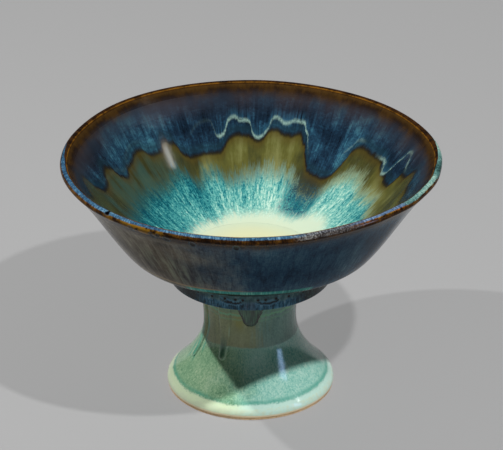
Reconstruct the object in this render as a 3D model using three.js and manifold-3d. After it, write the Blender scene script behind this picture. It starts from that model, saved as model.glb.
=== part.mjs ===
// A footed stoneware bowl: a thrown bowl luted onto a hollow thrown pedestal, with its fired glazes.
// Millimetres, +Z up. The foot ring stands on z = 0 and Z is the axis of the wheel.
import * as THREE from "three";
import { mergeVertices } from "three/addons/utils/BufferGeometryUtils.js";
import Module from "manifold-3d";

// Bowl, measured over the glaze
const height = 166;
const rimRadius = 125;
const lipRadius = 2.6; // of the round of the lip, so the lip is twice this thick
const bellyRadius = 83.5; // sharp lower edge of the belly
const undercutRise = 13; // from the top of the collar up to the belly's edge
const wellRadius = 42; // flat pool of glaze in the middle of the bowl
const poolDepth = 5.2; // of glaze at the middle of the pool
const baseThickness = 9.6; // of clay under the middle of the pool

// Collar under the belly, measured over the glaze
const collarRadius = 54.3;
const collarLean = 0.7; // the collar is this much wider at its top
const collarHeight = 13.2;

// Pedestal, measured over the glaze
const pedestalHeight = 81.3; // from the table to the underside of the collar
const stemTopRadius = 33;
const waistRadius = 30.7;
const waistHeight = 52;
const footRadius = 56.2;
const footEdgeHeight = 7.5; // top of the rounded edge of the foot
const footEdgeRound = 1.6; // the edge draws in this far at its top
const footRingWidth = 5; // flat bare clay that the bowl stands on
const footRingInset = 1.4; // from the bare side of the foot in to the ring
const bareHeight = 1.8; // bare clay between the table and the glaze
const pedestalWall = 5.5;

// Joint and glazes
const coilRadius = 6; // fillet of the clay coil that was smoothed into the joint
const recessDepth = 4; // turned hollow under the bowl, inside the pedestal
const glazeThickness = 0.8;
const dripThickness = 1.2;
const clearance = 0.3; // between neighbouring solids

// Thick runs of glaze on the stem: degrees to the right of the front, width at the top, length
const runs = {
  front_glaze_drip: { azimuth: 0, width: 21, length: 18 },
  left_glaze_run: { azimuth: -33, width: 11, length: 44 },
  side_glaze_run: { azimuth: -74, width: 9, length: 51 },
};

// Handles of the curves: steps in radius and height from the point that each belongs to
const handles = {
  belly: [12, 13],
  lipOutside: [-14.8, -15],
  lipInside: [-14.9, -15.6],
  well: [44, 14.5],
  footEdge: [0.7, 3.2],
  footTop: [-13.6, 12.5],
  waist: [0, -18],
};

const turnSteps = 40; // facets round the axis
const clayDepth = glazeThickness + clearance; // from the glazed surface down to the clay
const collarTop = pedestalHeight + collarHeight;
const floorHeight = pedestalHeight + clayDepth + baseThickness; // of the clay under the pool
const wellHeight = floorHeight + clearance + poolDepth;

const point = (r, z) => new THREE.Vector2(r, z);
const handle = (p, [r, z]) => point(p.x + r, p.y + z);
const quadratic = (a, b, c, steps) => new THREE.QuadraticBezierCurve(a, b, c).getPoints(steps);
const cubic = (a, b, c, d, steps) => new THREE.CubicBezierCurve(a, b, c, d).getPoints(steps);

function arc(centre, radius, from, to, steps) {
  const points = [];
  for (let i = 0; i <= steps; i++) {
    const angle = THREE.MathUtils.degToRad(from + ((to - from) * i) / steps);
    points.push(point(centre.x + radius * Math.cos(angle), centre.y + radius * Math.sin(angle)));
  }
  return points;
}

// Runs of points end to end, without the shared ones.
function chain(...runs) {
  return runs.reduce((all, run) => all.concat(all.length ? run.slice(1) : run), []);
}

// The line moved towards its right hand side, which is away from the clay. Negative goes into it.
function offset(line, distance) {
  const normals = line.slice(1).map((p, i) => {
    const along = p.clone().sub(line[i]).normalize();
    return point(along.y, -along.x);
  });
  return line.map((p, i) => {
    const before = normals[Math.max(i - 1, 0)];
    const after = normals[Math.min(i, normals.length - 1)];
    const miter = before.clone().add(after).normalize();
    return p.clone().addScaledVector(miter, distance / miter.dot(before));
  });
}

// The line with each end drawn back, so that skins that meet keep their clearance.
function drawnBack(line) {
  const points = line.map((p) => p.clone());
  const step = clearance * 0.75;
  const pull = (end, next) => end.addScaledVector(next.clone().sub(end).normalize(), step);
  pull(points[0], points[1]);
  pull(points.at(-1), points.at(-2));
  return points;
}

// Glazed surface of the pedestal, from the foot up
const footBottom = point(footRadius, bareHeight);
const footTop = point(footRadius - footEdgeRound, footEdgeHeight);
const waist = point(waistRadius, waistHeight);
const footEdge = quadratic(footBottom, handle(footBottom, handles.footEdge), footTop, 4);
const flare = cubic(footTop, handle(footTop, handles.footTop), handle(waist, handles.waist), waist, 7);
const coilBottom = pedestalHeight - coilRadius;
const stem = quadratic(
  waist,
  point(waistRadius, (waistHeight + coilBottom) / 2),
  point(stemTopRadius, coilBottom),
  3,
);
const coilCentre = point(stemTopRadius + coilRadius, coilBottom);
const coilFillet = arc(coilCentre, coilRadius, 180, 90, 3);
const undersideMiddle = point((coilCentre.x + collarRadius) / 2, pedestalHeight);
const undersideInner = [coilFillet.at(-1), undersideMiddle];

// Glazed surface of the bowl, from under the collar, over the lip and down to the pool
const collarCorner = point(collarRadius, pedestalHeight);
const collarHead = point(collarRadius + collarLean, collarTop);
const bellyEdge = point(bellyRadius, collarTop + undercutRise);
const undercutMiddle = collarHead.clone().lerp(bellyEdge, 2 / 3);
const lipCentre = point(rimRadius - lipRadius, height - lipRadius);
const lip = arc(lipCentre, lipRadius, -40, 140, 6);
const wall = cubic(bellyEdge, handle(bellyEdge, handles.belly), handle(lip[0], handles.lipOutside), lip[0], 7);
const well = point(wellRadius, wellHeight);
const inside = cubic(lip.at(-1), handle(lip.at(-1), handles.lipInside), handle(well, handles.well), well, 8);

const manifoldModule = await Module();
manifoldModule.setup();

// Turns a closed profile, or one that starts and ends on the axis, about the Z axis.
function turned(profile) {
  const area = profile.reduce((sum, p, i) => sum + p.cross(profile[(i + 1) % profile.length]), 0);
  const line = area > 0 ? [...profile] : [...profile].reverse();
  if (line.every((p) => p.x > 0)) line.push(line[0].clone());
  return new THREE.LatheGeometry(line, turnSteps).rotateX(Math.PI / 2);
}

// A glaze skin over a stretch of the glazed surface, between the surface and the clay.
function skin(line) {
  const trimmed = drawnBack(line);
  return turned([...trimmed, ...offset(trimmed, -glazeThickness).reverse()]);
}

// Clay floor of the well, from the end of the inside wall to the axis.
function wellFloor() {
  const start = offset(inside, -clayDepth).at(-1);
  return cubic(
    start,
    point(wellRadius * 0.75, floorHeight + poolDepth * 0.3),
    point(wellRadius * 0.4, floorHeight),
    point(0, floorHeight),
    4,
  );
}

function bowlBody() {
  const base = [undersideMiddle, collarCorner, collarHead, bellyEdge];
  const outer = offset(chain(base, wall, lip, inside), -clayDepth);
  const underside = outer[0].y;
  const recessRadius = stemTopRadius - clayDepth - pedestalWall;
  return turned([
    point(0, underside + recessDepth),
    point(recessRadius - recessDepth, underside + recessDepth),
    point(recessRadius, underside),
    ...chain(outer, wellFloor()),
  ]);
}

// The pool lies on the clay floor, raised by the clearance, and has a flat top.
function wellPool() {
  const raised = offset(wellFloor(), clearance).map((p) => point(Math.max(p.x, 0), p.y));
  raised[0].x = wellRadius - 2 * clearance;
  raised.at(-1).set(0, floorHeight + clearance);
  return turned([...raised.reverse(), point(wellRadius - clearance, wellHeight), point(0, wellHeight)]);
}

function pedestalBody() {
  const outer = offset(chain(footEdge, flare, stem), -clayDepth);
  const top = pedestalHeight + clayDepth - clearance;
  const ringOuter = outer[0].x - footRingInset;
  const ringInner = ringOuter - footRingWidth;
  const upper = point(outer.at(-1).x, top);
  const inner = offset(chain(flare, stem), -clayDepth - pedestalWall);
  return turned([
    point(ringInner, 0),
    point(ringOuter, 0),
    ...outer,
    upper,
    point(upper.x - pedestalWall, top),
    ...inner.reverse(),
  ]);
}

// The coil fills the corner between the stem and the bowl, clear of both.
function lutingCoil() {
  const corner = point(stemTopRadius - clayDepth, pedestalHeight + clayDepth);
  const centre = point(corner.x + coilRadius, corner.y - coilRadius);
  const reach = THREE.MathUtils.radToDeg(Math.asin((coilRadius - clearance) / coilRadius));
  const face = arc(centre, coilRadius, 180 - reach, 90 + reach, 3);
  return turned([point(corner.x + clearance, corner.y - clearance), ...face]);
}

function solidOf(geometry) {
  const bare = new THREE.BufferGeometry()
    .setAttribute("position", geometry.getAttribute("position"))
    .setIndex(geometry.getIndex());
  const merged = mergeVertices(bare, 1e-3);
  const mesh = new manifoldModule.Mesh({
    numProp: 3,
    vertProperties: merged.attributes.position.array,
    triVerts: new Uint32Array(merged.index.array),
  });
  return new manifoldModule.Manifold(mesh);
}

function geometryOf(solid) {
  const mesh = solid.getMesh();
  return new THREE.BufferGeometry()
    .setAttribute("position", new THREE.BufferAttribute(mesh.vertProperties, 3))
    .setIndex(new THREE.BufferAttribute(mesh.triVerts, 1));
}

// A tongue of thick glaze that ran down the stem, widest at its top and with a round tip.
function glazeRun({ azimuth, width, length }) {
  const over = drawnBack(chain(flare, stem));
  const shell = turned([...offset(over, clearance + dripThickness), ...offset(over, clearance).reverse()]);
  const top = coilBottom - clearance;
  const tipRadius = width / 4;
  const tipCentre = top - length + tipRadius;
  const middle = (top + tipCentre) / 2;
  const swell = width * 0.4; // half width that the sides lean towards
  const outline = new THREE.Shape();
  outline.moveTo(-width / 2, top);
  outline.quadraticCurveTo(-swell, middle, -tipRadius, tipCentre);
  outline.absarc(0, tipCentre, tipRadius, Math.PI, 2 * Math.PI, false);
  outline.quadraticCurveTo(swell, middle, width / 2, top);
  outline.closePath();
  const depth = stemTopRadius * 2;
  const cutter = new THREE.ExtrudeGeometry(outline, { depth, bevelEnabled: false, curveSegments: 4 });
  cutter.rotateX(Math.PI / 2);
  const run = geometryOf(solidOf(shell).intersect(solidOf(cutter)));
  return run.rotateZ(THREE.MathUtils.degToRad(azimuth));
}

const clay = { color: 0xa9835c, roughness: 0.85, metalness: 0 };
const model = new THREE.Group();

function add(name, geometry, finish) {
  const mesh = new THREE.Mesh(geometry, new THREE.MeshStandardMaterial({ metalness: 0, ...finish }));
  mesh.name = name;
  model.add(mesh);
}

add("bowl_body", bowlBody(), clay);
add("pedestal_body", pedestalBody(), clay);
add("luting_coil", lutingCoil(), clay);
add("rim_glaze", skin(chain(wall.slice(-2), lip, inside.slice(0, 2))), { color: 0x8d86a0, roughness: 0.2 });
add("inside_glaze", skin(inside.slice(1)), { color: 0x5f6f6a, roughness: 0.15 });
add("well_glaze_pool", wellPool(), { color: 0xd8cf9a, roughness: 0.1 });
add("outside_glaze", skin(chain([undercutMiddle, bellyEdge], wall.slice(0, -1))), { color: 0x3c4650, roughness: 0.2 });
add("collar_glaze", skin([undersideMiddle, collarCorner, collarHead, undercutMiddle]), {
  color: 0x1d2c3c,
  roughness: 0.15,
});
add("pedestal_glaze", skin(chain(flare, stem, coilFillet, undersideInner)), { color: 0x7f9268, roughness: 0.2 });
add("foot_glaze_roll", skin(footEdge), { color: 0xb9c6a4, roughness: 0.2 });
for (const [name, run] of Object.entries(runs)) {
  add(name, glazeRun(run), { color: 0x1f4a45, roughness: 0.1 });
}

export default model;
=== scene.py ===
import math
import bmesh
import bpy
from mathutils import Matrix, Vector, noise
from mathutils.geometry import interpolate_bezier


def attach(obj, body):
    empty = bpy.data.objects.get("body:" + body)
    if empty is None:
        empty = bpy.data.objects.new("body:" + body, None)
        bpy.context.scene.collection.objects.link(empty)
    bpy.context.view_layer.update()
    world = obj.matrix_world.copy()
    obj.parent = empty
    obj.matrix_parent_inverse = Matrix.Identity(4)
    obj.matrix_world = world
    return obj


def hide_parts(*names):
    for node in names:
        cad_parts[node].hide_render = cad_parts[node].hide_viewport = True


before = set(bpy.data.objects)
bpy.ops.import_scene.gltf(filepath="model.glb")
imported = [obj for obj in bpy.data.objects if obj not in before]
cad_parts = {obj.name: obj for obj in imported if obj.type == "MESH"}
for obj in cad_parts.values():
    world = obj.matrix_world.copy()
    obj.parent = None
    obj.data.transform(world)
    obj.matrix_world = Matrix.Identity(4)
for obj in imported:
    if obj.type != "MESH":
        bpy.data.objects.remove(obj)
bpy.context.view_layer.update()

mm = 0.001
turnSteps = 240      # faces round the axis of a thrown piece
creaseAngle = math.radians(40)      # sharper edges than this aren't shaded smooth


# Lines of the profile, in the XZ plane
def at(radius, z):
    return Vector((radius * mm, 0.0, z * mm))


def curve(start, startHandle, endHandle, end, count):
    return [p.copy() for p in interpolate_bezier(start, startHandle, endHandle, end, count + 1)]


def bend(start, startHandle, endHandle, end, count):      # each handle is said from its own end
    return curve(start, start + at(*startHandle), end + at(*endHandle), end, count)


def arc(centre, radius, fromDegrees, toDegrees, count):
    points = []
    for i in range(count + 1):
        angle = math.radians(fromDegrees + (toDegrees - fromDegrees) * i / count)
        points.append(centre + Vector((math.cos(angle), 0, math.sin(angle))) * radius * mm)
    return points


def chain(*runs):
    line = list(runs[0])
    for run in runs[1:]:
        line += run[1:]
    return line


def offset(line, distance):      # positive is away from the clay
    sides = [Vector((b.z - a.z, 0, a.x - b.x)).normalized() for a, b in zip(line, line[1:])]
    moved = []
    for i, point in enumerate(line):
        before, after = sides[max(i - 1, 0)], sides[min(i, len(sides) - 1)]
        miter = (before + after).normalized()
        moved.append(point + miter * distance * mm / miter.dot(before))
    return moved


def soften(line, index, reach):      # a small round instead of the corner
    corner = line[index]
    before = [p for p in line[:index] if (p - corner).length > reach * 1.2 * mm]
    after = [p for p in line[index + 1:] if (p - corner).length > reach * 1.2 * mm]
    start = corner + (before[-1] - corner).normalized() * reach * mm
    end = corner + (after[0] - corner).normalized() * reach * mm
    return before + curve(start, start.lerp(corner, 0.6), end.lerp(corner, 0.6), end, 6) + after


# The glazed surface of the bowl and the pedestal, in millimetres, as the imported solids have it
bowl = {
    "height": 166, "rimRadius": 125, "lipRadius": 2.6, "lipDegrees": (-40, 140),
    "bellyRadius": 83.5, "bellyHeight": 107.5, "wallHandle": (12, 13), "wallTopHandle": (-14.8, -15),
    "wellRadius": 42, "wellHeight": 97.5, "insideHandle": (-14.9, -15.6), "wellHandle": (44, 14.5),
    "collarRadius": 54.3, "collarHeadRadius": 55, "collarTop": 94.5, "collarBottom": 81.3,
    "glaze": 0.8, "clayDepth": 1.1, "recess": 4,
    # the clay floor under the pool: its middle, and where its curve's handles are
    "floorHeight": 92, "floorSide": (31.5, 93.56), "floorFlat": 16.8,
}
pedestal = {
    "stemTop": 33, "stemTopHandle": (-1.2, -7.3), "waist": 30.7, "waistHeight": 52, "stemHandle": (0, 8),
    "flareHandle": (-13.6, 12.5), "flareTopHandle": (0, -18), "foot": 56.2, "edgeHeight": 7.5,
    "edgeRound": 1.6, "edgeHandle": (0.5, 2.1), "edgeTopHandle": (1.5, -1.7), "bare": 1.8, "coil": 6,
    "coilDegrees": 71.8,
    "wall": 5.5, "ring": 5, "ringSlope": 2, "ringBevel": (0.5, 0.4), "bareTop": 1.6, "bareInset": 0.3,
}
clayGap = 0.3      # between one clay piece and the next

lipCentre = at(bowl["rimRadius"] - bowl["lipRadius"], bowl["height"] - bowl["lipRadius"])
lip = arc(lipCentre, bowl["lipRadius"], *bowl["lipDegrees"], 24)
bellyEdge = at(bowl["bellyRadius"], bowl["bellyHeight"])
wall = bend(bellyEdge, bowl["wallHandle"], bowl["wallTopHandle"], lip[0], 40)
well = at(bowl["wellRadius"], bowl["wellHeight"])
inside = bend(lip[-1], bowl["insideHandle"], bowl["wellHandle"], well, 44)
collarFoot = at(bowl["collarRadius"], bowl["collarBottom"])
collarHead = at(bowl["collarHeadRadius"], bowl["collarTop"])
undercutMiddle = bellyEdge.lerp(collarHead, 1 / 3)

waist = at(pedestal["waist"], pedestal["waistHeight"])
footBottom = at(pedestal["foot"], pedestal["bare"])
footTop = at(pedestal["foot"] - pedestal["edgeRound"], pedestal["edgeHeight"])
footEdge = bend(footBottom, pedestal["edgeHandle"], pedestal["edgeTopHandle"], footTop, 14)
coilBottom = bowl["collarBottom"] - pedestal["coil"]
stemTop = at(pedestal["stemTop"], coilBottom)
coilCentre = at(pedestal["stemTop"] + pedestal["coil"], coilBottom)
coilFillet = arc(coilCentre, pedestal["coil"], 180, 90, 8)
undersideMiddle = (coilFillet[-1] + collarFoot) / 2


def flareLine(count):
    return bend(footTop, pedestal["flareHandle"], pedestal["flareTopHandle"], waist, count)


def stemLine(count):
    return bend(waist, pedestal["stemHandle"], pedestal["stemTopHandle"], stemTop, count)


flare = flareLine(40)
stem = stemLine(20)

# How far the thrower's hand is from true, in millimetres. Nearer the axis than "pole" nothing moves outwards.
warp = {
    "swell": 0.25, "swellNoise": (1.1, 12), "lift": 0.3, "liftNoise": (0.9, 4), "pole": 0.01,
    # the rim's uneven places: degrees from the front, how far out and how far up
    "rim": [
        (-180, 0, 1.05), (-135, 0, 1.8), (-108, 0, 0.45), (-90, -0.3, 0.2), (-60, -1.2, 1),
        (-38, -2, 1.55), (-10, -3.3, 1.7), (10, -3.7, 1.75), (30, -3.4, 2.65), (45, -2.85, 2.4),
        (62, -1.8, 1.2), (80, -0.1, 0.5), (98, 1.3, 0.3), (120, 0.5, 0.6), (150, 0, 0.4), (180, 0, 1.05),
    ],
}


def smooth(value, low, high):
    share = min(max((value - low) / (high - low), 0.0), 1.0)
    return share * share * (3 - 2 * share)


def unevenRim(fromFront):
    places = [Vector(place) for place in warp["rim"]]
    for before, after in zip(places, places[1:]):
        if fromFront <= after.x:
            return before.lerp(after, smooth(fromFront, before.x, after.x))
    return places[-1]


def handmade(point):
    flat = Vector((point.x, point.y, 0))
    radial = flat.normalized() if flat.length > warp["pole"] * mm else Vector((0, 0, 0))
    fromFront = math.degrees(math.atan2(point.x, -point.y))
    up = smooth(point.z / mm, bowl["bellyHeight"], bowl["height"])
    rim = unevenRim(fromFront) * up
    scale, upwards = warp["swellNoise"]
    swell = warp["swell"] * noise.noise(Vector((radial.x, radial.y, point.z * upwards)) * scale)
    scale, level = warp["liftNoise"]
    lift = warp["lift"] * noise.noise(Vector((radial.x, radial.y, level)) * scale) * up
    return point + (radial * (swell + rim.y) + Vector((0, 0, lift + rim.z))) * mm


# Mesh helpers. The attribute "thrown" keeps where a point was before the hand's warp, for the glaze patterns.
def finishMesh(bm, name):
    bmesh.ops.remove_doubles(bm, verts=bm.verts, dist=1e-6)
    bmesh.ops.recalc_face_normals(bm, faces=bm.faces)
    for face in bm.faces:
        face.smooth = True
    for edge in bm.edges:
        if len(edge.link_faces) == 2 and edge.calc_face_angle() > creaseAngle:
            edge.smooth = False
    mesh = bpy.data.meshes.new(name)
    bm.to_mesh(mesh)
    bm.free()
    piece = bpy.data.objects.new(name, mesh)
    bpy.context.scene.collection.objects.link(piece)
    return piece


def turn(name, profile):
    bm = bmesh.new()
    thrown = bm.verts.layers.float_vector.new("thrown")
    verts = [bm.verts.new(p) for p in profile]
    edges = [bm.edges.new(pair) for pair in zip(verts, verts[1:])]
    if profile[0].x > 0:      # a ring, that doesn't end on the axis
        edges.append(bm.edges.new((verts[-1], verts[0])))
    bmesh.ops.spin(bm, geom=verts + edges, cent=(0, 0, 0), axis=(0, 0, 1), dvec=(0, 0, 0),
                   angle=math.tau, steps=turnSteps, use_merge=True)
    for vert in bm.verts:
        vert[thrown] = vert.co
        vert.co = handmade(vert.co)
    return finishMesh(bm, name)


def skin(line):
    return line + offset(line, -bowl["glaze"])[::-1]


def standFor(piece, node, material):
    piece.data.materials.append(material)
    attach(piece, "root")
    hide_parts(node)


# Material helpers
def tint(code):
    channels = [int(code[i:i + 2], 16) / 255 for i in (0, 2, 4)]
    return [c / 12.92 if c <= 0.04045 else ((c + 0.055) / 1.055) ** 2.4 for c in channels] + [1.0]


board = {}      # the node tree that the helpers below add to, and its shader


def link(value, socket):
    board["tree"].links.new(value, socket)


def add(kind, values=None, **settings):
    made = board["tree"].nodes.new(kind)
    for key, value in settings.items():
        setattr(made, key, value)
    for key, value in (values or {}).items():
        if isinstance(value, bpy.types.NodeSocket):
            link(value, made.inputs[key])
        else:
            made.inputs[key].default_value = value
    return made


def calc(operation, a, b=0.0, c=0.0):
    return add("ShaderNodeMath", {0: a, 1: b, 2: c}, operation=operation).outputs[0]


def minus(a, b):
    return calc("SUBTRACT", a, b)


def times(a, *others):
    for other in others:
        a = calc("MULTIPLY", a, other)
    return a


def scaled(a, gain, base):
    return calc("MULTIPLY_ADD", a, gain, base)


def size(value):      # without its sign
    return calc("ABSOLUTE", value)


def ease(value, low, high):      # 0 at low, 1 at high
    return add("ShaderNodeMapRange", {"Value": value, "From Min": low, "From Max": high},
               interpolation_type="SMOOTHSTEP").outputs["Result"]


def near(value, centre, half):      # 1 at the centre, 0 at half on either side
    return ease(size(minus(value, centre)), half, 0.0)


def sway(base, *parts):      # the base, moved by each noise about its middle, times its gain
    for value, gain in parts:
        base = scaled(minus(value, 0.5), gain, base)
    return base


def blend(factor, a, b):
    values = {0: factor, 6: tint(a) if isinstance(a, str) else a, 7: tint(b) if isinstance(b, str) else b}
    return add("ShaderNodeMix", values, data_type="RGBA").outputs[2]


def over(colour, ink, *shares):      # the ink over the colour, as strong as its shares multiplied
    return blend(times(*shares), colour, ink)


def mottle(vector, scale, detail=4.0, roughness=0.55, distortion=0.0):
    values = {"Vector": vector, "Scale": scale, "Detail": detail, "Roughness": roughness}
    return add("ShaderNodeTexNoise", {**values, "Distortion": distortion}).outputs[0]


def ramp(factor, stops):
    made = add("ShaderNodeValToRGB", {"Fac": factor})
    elements = made.color_ramp.elements
    for element, (position, code) in zip(elements, (stops[0], stops[-1])):
        element.position = position
        element.color = tint(code)
    for position, code in stops[1:-1]:
        elements.new(position).color = tint(code)
    return made.outputs[0]


# A line drawn through points of degrees and a mark between low and high
def drawn(degrees, points, low, high):
    start, end = points[0][0], points[-1][0]
    share = add("ShaderNodeMapRange", {"Value": degrees, "From Min": start, "From Max": end}).outputs[0]
    made = add("ShaderNodeFloatCurve", {"Factor": 1.0, "Value": share})
    line = made.mapping.curves[0]
    for i, (angle, mark) in enumerate(points):
        spot = ((angle - start) / (end - start), (mark - low) / (high - low))
        if i < 2:
            line.points[i].location = spot
        else:
            line.points.new(*spot)
    for dot in line.points:
        dot.handle_type = "AUTO_CLAMPED"
    made.mapping.update()
    return add("ShaderNodeMapRange", {"Value": made.outputs[0], "To Min": low, "To Max": high}).outputs[0]


def readPlace():      # millimetres, and degrees from the back and, as "side", from the front
    position = add("ShaderNodeAttribute", attribute_name="thrown").outputs["Vector"]
    x, y, z = add("ShaderNodeSeparateXYZ", {0: position}).outputs
    flat = add("ShaderNodeCombineXYZ", {"X": x, "Y": y}).outputs[0]
    length = add("ShaderNodeVectorMath", {0: flat}, operation="LENGTH").outputs["Value"]
    around = add("ShaderNodeVectorMath", {0: flat}, operation="NORMALIZE").outputs[0]
    toDegrees = 180 / math.pi
    return {
        "object": position, "around": around,
        "radius": times(length, 1 / mm), "height": times(z, 1 / mm),
        "fromBack": times(calc("ARCTAN2", x, y), toDegrees),
        "side": times(calc("ARCTAN2", x, times(y, -1.0)), toDegrees),
    }


def flow(place, along, across, lengthwise):      # a noise space that runs with the glaze
    spread = add("ShaderNodeVectorMath", {0: place["around"], 1: (across,) * 3}, operation="MULTIPLY")
    x, y = add("ShaderNodeSeparateXYZ", {0: spread.outputs[0]}).outputs[:2]
    return add("ShaderNodeCombineXYZ", {"X": x, "Y": y, "Z": times(along, lengthwise)}).outputs[0]


# The noises of a look. A streaked one runs with the glaze and has scales across and lengthwise, then detail,
# roughness and distortion. A spotted one has its scale, detail and roughness.
def noises(place, along, look):
    streaked = [mottle(flow(place, along, across, lengthwise), 1, *rest)
                for across, lengthwise, *rest in look["streaked"].values()]
    return streaked + [mottle(place["object"], *settings) for settings in look["spotted"].values()]


def startMaterial(name, shine):
    material = bpy.data.materials.new(name)
    material.use_nodes = True
    board["tree"] = material.node_tree
    board["shader"] = material.node_tree.nodes["Principled BSDF"]
    for socket, value in shine.items():
        board["shader"].inputs[socket].default_value = value
    return material


def painted(name, look, paint):      # "paint" gives the colour and the bump's height at a place
    material = startMaterial(name, look["shine"])
    colour, height = paint(readPlace())
    link(colour, board["shader"].inputs["Base Color"])
    values = {"Strength": look["bump"], "Distance": look.get("bumpDepth", 0.0004), "Height": height}
    link(add("ShaderNodeBump", values).outputs[0], board["shader"].inputs["Normal"])
    return material


# Clay
clayLook = {
    "shine": {"Roughness": 0.85}, "bump": 0.5, "bumpDepth": 0.0003, "grain": (900, 6), "toast": (40, 3),
    "plain": ("ffe4ba", "f2c48c"), "dark": "b48a5c",
}


def clayPaint(place):
    look = clayLook
    grain, toast = (mottle(place["object"], *look[name]) for name in ("grain", "toast"))
    return blend(ease(grain, 0.5, 0.8), blend(toast, *look["plain"]), look["dark"]), grain


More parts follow.
